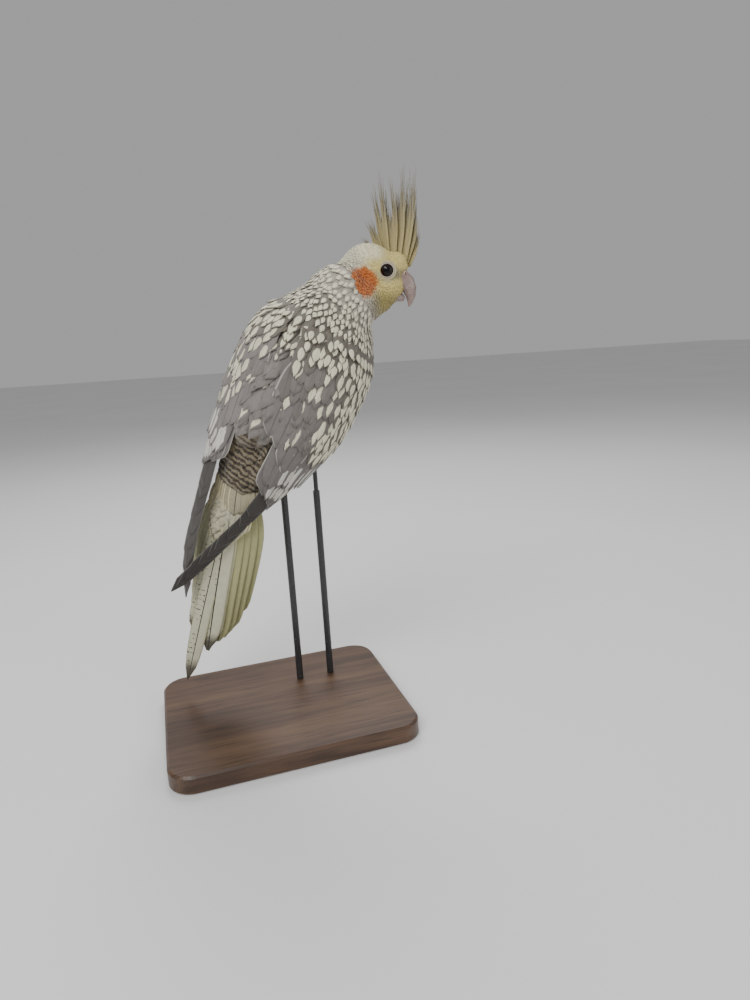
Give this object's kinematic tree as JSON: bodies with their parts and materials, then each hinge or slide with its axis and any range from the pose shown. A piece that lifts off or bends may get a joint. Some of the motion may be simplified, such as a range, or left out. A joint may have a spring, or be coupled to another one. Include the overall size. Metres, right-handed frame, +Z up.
{
  "type": "cockatiel model",
  "caption": "Life-size still model of a pearl cockatiel gripping a short piece of wire grid, seen from behind, on a plain display stand.",
  "frame": {"origin": "middle of the underside of the stand's base", "axes": "+Z up; +X along the wire grid, toward the side that the bird's bill points to; +Y from the bird's back through the grid"},
  "size_m": [0.1514, 0.108, 0.2843],
  "materials": {
    "wood": "satin",
    "steel": "satin",
    "plumage": "matte",
    "wing": "matte",
    "tail": "matte",
    "face": "matte",
    "horn": "satin",
    "eye": "gloss",
    "skin": "matte"
  },
  "bodies": {
    "root": {"stand_base": "wood", "stand_rod_left": "steel", "stand_rod_right": "steel", "perch_grid": "steel", "torso": "plumage", "neck": "plumage", "head": "face", "eye_right": "eye", "eye_left": "eye", "bill_upper": "horn", "bill_lower": "horn", "wing_left": "wing", "wing_right": "wing", "tail": "tail", "leg_left": "plumage", "foot_left": "skin", "claw_left_1": "horn", "claw_left_2": "horn", "claw_left_3": "horn", "claw_left_4": "horn", "leg_right": "plumage", "foot_right": "skin", "claw_right_1": "horn", "claw_right_2": "horn", "claw_right_3": "horn", "claw_right_4": "horn"}
  },
  "joints": []
}
